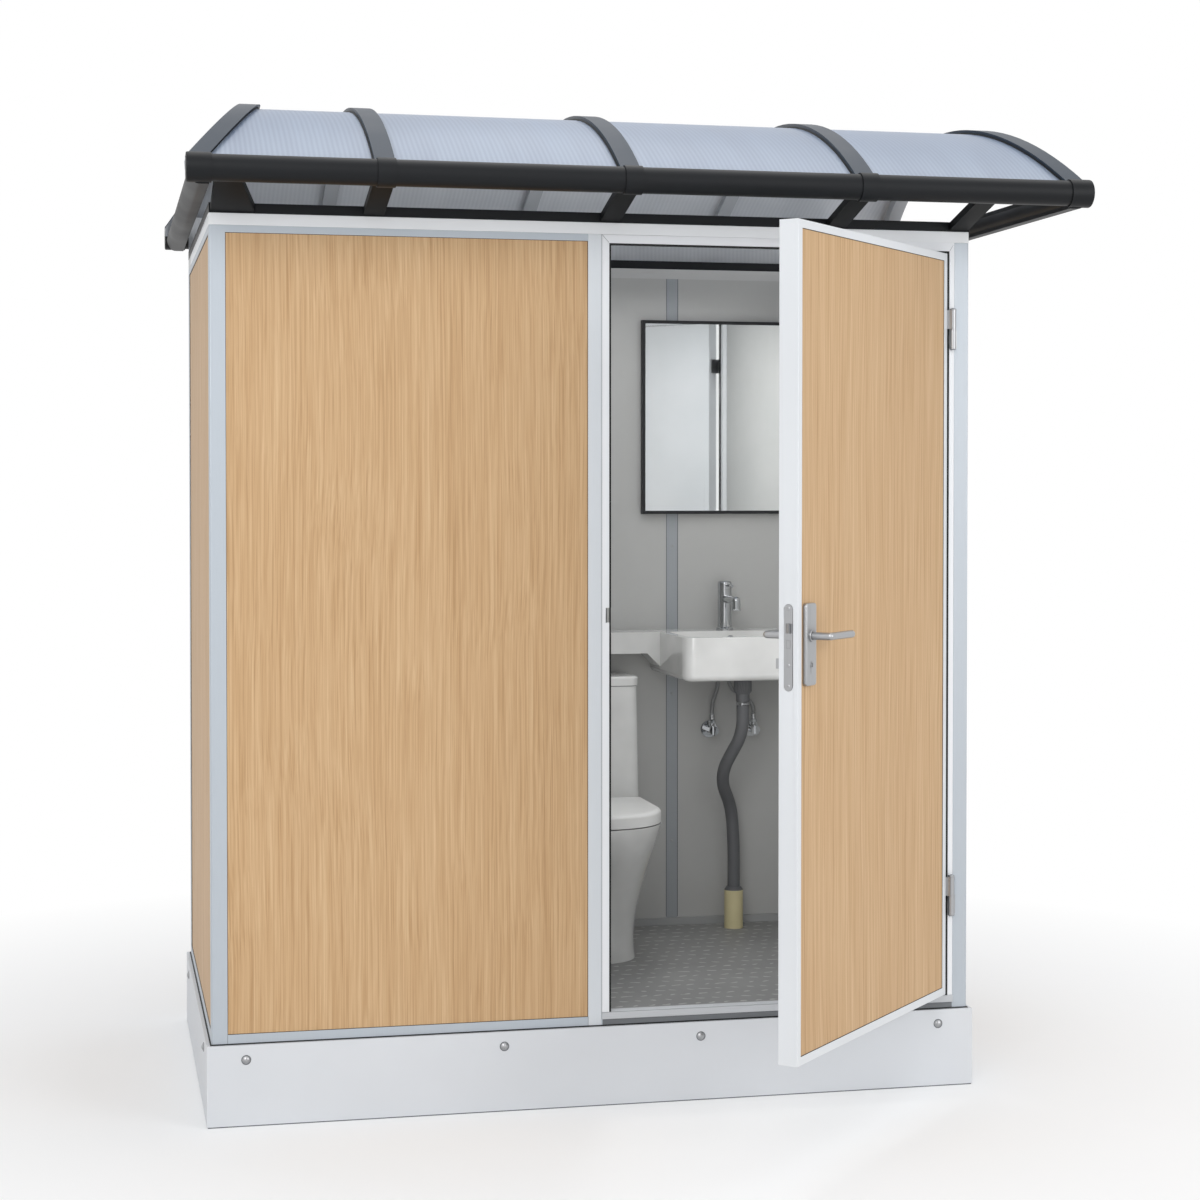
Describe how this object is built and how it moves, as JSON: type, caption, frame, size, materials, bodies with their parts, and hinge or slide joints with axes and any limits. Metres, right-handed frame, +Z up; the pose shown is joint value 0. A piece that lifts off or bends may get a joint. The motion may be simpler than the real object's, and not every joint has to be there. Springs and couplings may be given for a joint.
{
  "type": "modular outdoor bathroom unit",
  "caption": "Cabin on a steel plinth with wood-faced walls, an outward door with lever lock, a vaulted translucent roof, toilet, basin, tap, drain and mirror.",
  "frame": {"origin": "on the ground under the middle of the cabin, on the bottom flange of the middle cross beam", "axes": "+Z up; the door and the long eave face -Y; +X towards the hinge side of the door"},
  "size_m": [2.298, 2.024, 2.62],
  "materials": {
    "base_steel": "galvanised, matt",
    "plinth_sheet": "satin grey powder coat",
    "stainless": "satin",
    "deck_board": "raw board",
    "floor_vinyl": "matt, studded",
    "skirting_grey": "matt",
    "frame_aluminium": "anodised satin",
    "white_profile": "white satin powder coat",
    "wood_panel": "wood grain, satin",
    "grey_lining": "matt",
    "gasket": "matt",
    "black_steel": "black satin powder coat",
    "slate_strap": "dark slate satin",
    "polycarbonate": "translucent, fluted",
    "ceramic": "white glaze",
    "seat_plastic": "white gloss",
    "chrome": "polished",
    "grey_hose": "matt",
    "cream_pvc": "satin",
    "braided_hose": "fine braid",
    "mirror_black": "matt",
    "mirror_silver": "silvered"
  },
  "bodies": {
    "cabin": {"base_beams": "base_steel", "plinth_skirts": "plinth_sheet", "plinth_bolts": "stainless", "hinge_frame_leaves": "stainless", "floor_deck": "deck_board", "floor_covering": "floor_vinyl", "floor_skirting": "skirting_grey", "corner_posts": "frame_aluminium", "wall_mullions": "frame_aluminium", "bottom_rails": "frame_aluminium", "panel_beads": "frame_aluminium", "roof_ribs": "frame_aluminium", "top_rails": "white_profile", "door_casing": "white_profile", "door_sill": "white_profile", "wall_panels": "wood_panel", "wall_linings": "grey_lining", "door_gasket": "gasket", "strike_plate": "black_steel", "eave_tubes": "black_steel", "eave_sleeves": "black_steel", "roof_base_rails": "black_steel", "roof_struts": "black_steel", "roof_end_bars": "black_steel", "roof_straps": "slate_strap", "roof_sheet": "polycarbonate", "toilet_body": "ceramic", "cistern_lid": "ceramic", "basin_console": "ceramic", "seat_hinge": "chrome", "tap_body": "chrome", "basin_waste": "chrome", "angle_valves": "chrome", "drain_hose": "grey_hose", "waste_stub": "cream_pvc", "soil_pipe": "cream_pvc", "supply_hoses": "braided_hose", "mirror_frame": "mirror_black", "mirror_pane": "mirror_silver"},
    "door": {"door_profiles": "white_profile", "door_panel": "wood_panel", "door_lining_sheet": "white_profile", "hinge_door_leaves": "stainless", "lock_case": "stainless", "lock_faceplate": "stainless", "lock_cylinder": "stainless", "handle_plates": "stainless"},
    "lever": {"lever_handles": "stainless"},
    "latch": {"latch_bolt": "stainless"},
    "bolt": {"dead_bolt": "stainless"},
    "turn_knob": {"thumb_turn": "stainless"},
    "seat": {"toilet_seat": "seat_plastic"},
    "lid": {"toilet_lid": "seat_plastic"},
    "half_flush": {"flush_button_half": "chrome"},
    "full_flush": {"flush_button_full": "chrome"},
    "stem": {"tap_stem": "chrome"},
    "tap_lever": {"tap_handle": "chrome"},
    "plug": {"waste_plug": "chrome"},
    "hot_knob": {"hot_valve_knob": "chrome"},
    "cold_knob": {"cold_valve_knob": "chrome"}
  },
  "joints": [
    {"name": "door_swing", "type": "hinge", "parent": "cabin", "child": "door", "pos_m": [0.952, -0.61, 1.233], "axis": [0, 0, 1], "range_deg": [-47, 63]},
    {"name": "lever_turn", "type": "hinge", "parent": "door", "child": "lever", "pos_m": [0.33238, -1.22314, 1.25], "axis": [-0.7314, 0.682, 0], "range_deg": [0, 40], "stiffness_Nm_per_rad": 3, "springref_deg": -22.92},
    {"name": "latch_slide", "type": "slide", "parent": "door", "child": "latch", "axis": [-0.682, -0.7314, 0], "range_m": [-0.012, 0]},
    {"name": "thumb_rotate", "type": "hinge", "parent": "door", "child": "turn_knob", "pos_m": [0.33238, -1.22314, 1.182], "axis": [-0.7314, 0.682, 0], "range_deg": [0, 90]},
    {"name": "bolt_slide", "type": "slide", "parent": "door", "child": "bolt", "axis": [-0.682, -0.7314, 0], "range_m": [0, 0.02]},
    {"name": "seat_hinge_turn", "type": "hinge", "parent": "cabin", "child": "seat", "pos_m": [0.134, 0.301, 0.659], "axis": [-1, 0, 0], "range_deg": [0, 90]},
    {"name": "lid_hinge_turn", "type": "hinge", "parent": "seat", "child": "lid", "pos_m": [0.134, 0.301, 0.659], "axis": [1, 0, 0], "range_deg": [-94, 0]},
    {"name": "half_flush_press", "type": "slide", "parent": "cabin", "child": "half_flush", "axis": [0, 0, -1], "range_m": [0, 0.005], "stiffness_N_per_m": 500, "springref_m": -0.004},
    {"name": "full_flush_press", "type": "slide", "parent": "cabin", "child": "full_flush", "axis": [0, 0, -1], "range_m": [0, 0.005], "stiffness_N_per_m": 500, "springref_m": -0.004},
    {"name": "tap_swivel", "type": "hinge", "parent": "cabin", "child": "stem", "pos_m": [0.635, 0.505, 1.286], "axis": [0, 0, 1], "range_deg": [-45, 45]},
    {"name": "tap_lift_turn", "type": "hinge", "parent": "stem", "child": "tap_lever", "pos_m": [0.635, 0.505, 1.2905], "axis": [-1, 0, 0], "range_deg": [0, 20]},
    {"name": "plug_lift", "type": "slide", "parent": "cabin", "child": "plug", "axis": [0, 0, 1], "range_m": [0, 0.008]},
    {"name": "hot_valve_turn", "type": "hinge", "parent": "cabin", "child": "hot_knob", "pos_m": [0.598, 0.49, 0.847], "axis": [0, -1, 0], "range_deg": [0, 90]},
    {"name": "cold_valve_turn", "type": "hinge", "parent": "cabin", "child": "cold_knob", "pos_m": [0.732, 0.49, 0.847], "axis": [0, -1, 0], "range_deg": [0, 90]}
  ],
  "couplings": [
    {"joint": "latch_slide", "follows": "lever_turn", "m_per_rad": -0.01718},
    {"joint": "thumb_rotate", "follows": "bolt_slide", "rad_per_m": 78.5}
  ]
}
